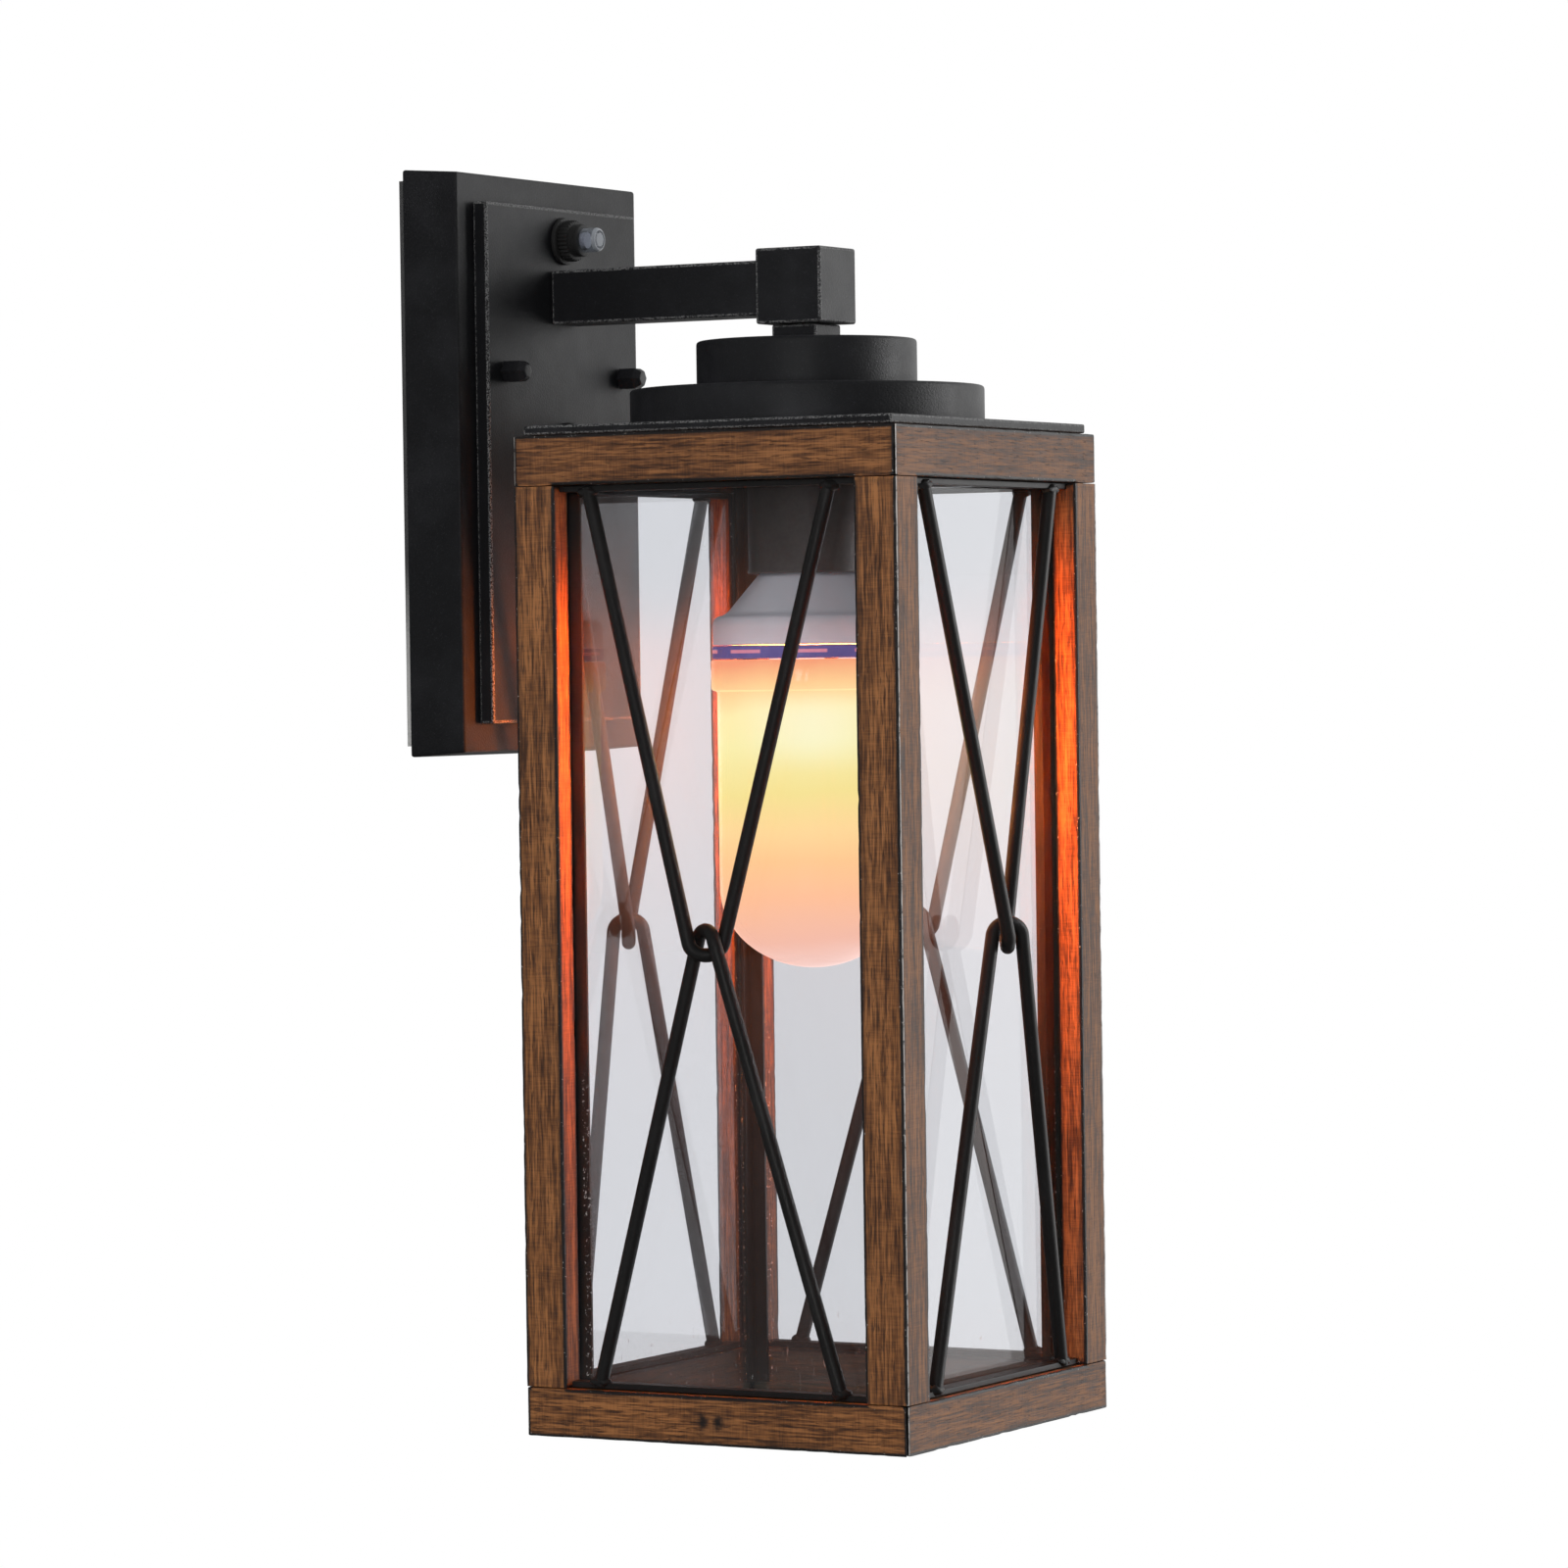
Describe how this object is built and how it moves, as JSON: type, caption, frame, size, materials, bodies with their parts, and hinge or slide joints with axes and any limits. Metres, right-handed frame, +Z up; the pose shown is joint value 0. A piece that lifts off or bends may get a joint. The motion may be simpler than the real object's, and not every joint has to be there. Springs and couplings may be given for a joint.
{
  "type": "outdoor wall lantern",
  "caption": "Outdoor wall lantern with a square glazed cage, hooked X-shaped iron rods, an open bottom, a stepped backplate and a dusk sensor.",
  "frame": {"origin": "on the wall plane, midway between the two mounting studs", "axes": "+Z up, -Y out from the wall to the lantern's front, +X to the right of someone facing the wall"},
  "size_m": [0.1522, 0.1967, 0.4124],
  "materials": {
    "wood_paint": "hand-brushed faux-wood brown, dark distressed edges",
    "glass": "clear",
    "black_iron": "black, satin",
    "zinc_steel": "zinc plated",
    "grey_foam": "closed-cell foam",
    "black_rubber": "matte",
    "sensor": "photoresistor face",
    "clear_plastic": "clear moulded cap",
    "dark_bronze": "dark bronze, satin",
    "porcelain": "glazed white",
    "brass": "plain",
    "lamp_cap": "rolled thread",
    "bulb_plastic": "white",
    "bulb_band": "translucent, tinted by the light",
    "bulb_diffuser": "frosted, lit in colours",
    "black_powder_coat": "fine-textured black powder coat"
  },
  "bodies": {
    "lantern": {"arm_locknut": "zinc_steel", "arm_pipe": "zinc_steel", "arm_tube": "black_powder_coat", "backplate_pan": "black_powder_coat", "backplate_step": "black_powder_coat", "bottom_rail_front": "wood_paint", "bottom_rail_left": "wood_paint", "bottom_rail_rear": "wood_paint", "bottom_rail_right": "wood_paint", "cap_locknut": "zinc_steel", "cap_pipe": "zinc_steel", "cover_screw": "black_powder_coat", "glass_channel_front_left": "black_iron", "glass_channel_front_right": "black_iron", "glass_channel_rear_left": "black_iron", "glass_channel_rear_right": "black_iron", "grille_lower_front": "black_iron", "grille_lower_left": "black_iron", "grille_lower_rear": "black_iron", "grille_lower_right": "black_iron", "grille_upper_front": "black_iron", "grille_upper_left": "black_iron", "grille_upper_rear": "black_iron", "grille_upper_right": "black_iron", "knuckle_block": "black_powder_coat", "lower_drum": "black_powder_coat", "mounting_strap": "zinc_steel", "neck": "black_powder_coat", "pane_front": "glass", "pane_left": "glass", "pane_rear": "glass", "pane_right": "glass", "photocell_body": "black_rubber", "photocell_cap": "clear_plastic", "photocell_disc": "sensor", "photocell_nut": "zinc_steel", "photocell_washer": "black_rubber", "post_front_left": "wood_paint", "post_front_right": "wood_paint", "post_rear_left": "wood_paint", "post_rear_right": "wood_paint", "roof_plate": "black_powder_coat", "socket_body": "porcelain", "socket_cup": "dark_bronze", "socket_shell": "brass", "stud_left": "zinc_steel", "stud_right": "zinc_steel", "top_rail_front": "wood_paint", "top_rail_left": "wood_paint", "top_rail_rear": "wood_paint", "top_rail_right": "wood_paint", "upper_drum": "black_powder_coat", "wall_gasket": "grey_foam"},
    "lamp": {"bulb_base": "lamp_cap", "bulb_housing": "bulb_plastic", "bulb_band": "bulb_band", "bulb_diffuser": "bulb_diffuser"},
    "nut_left": {"cap_nut_left": "black_powder_coat"},
    "nut_right": {"cap_nut_right": "black_powder_coat"}
  },
  "joints": [
    {"name": "lamp_removal", "type": "slide", "parent": "lantern", "child": "lamp", "axis": [0, 0, -1], "range_m": [0, 0.32]},
    {"name": "nut_left_removal", "type": "slide", "parent": "lantern", "child": "nut_left", "axis": [0, -1, 0], "range_m": [0, 0.012]},
    {"name": "nut_right_removal", "type": "slide", "parent": "lantern", "child": "nut_right", "axis": [0, -1, 0], "range_m": [0, 0.012]}
  ]
}
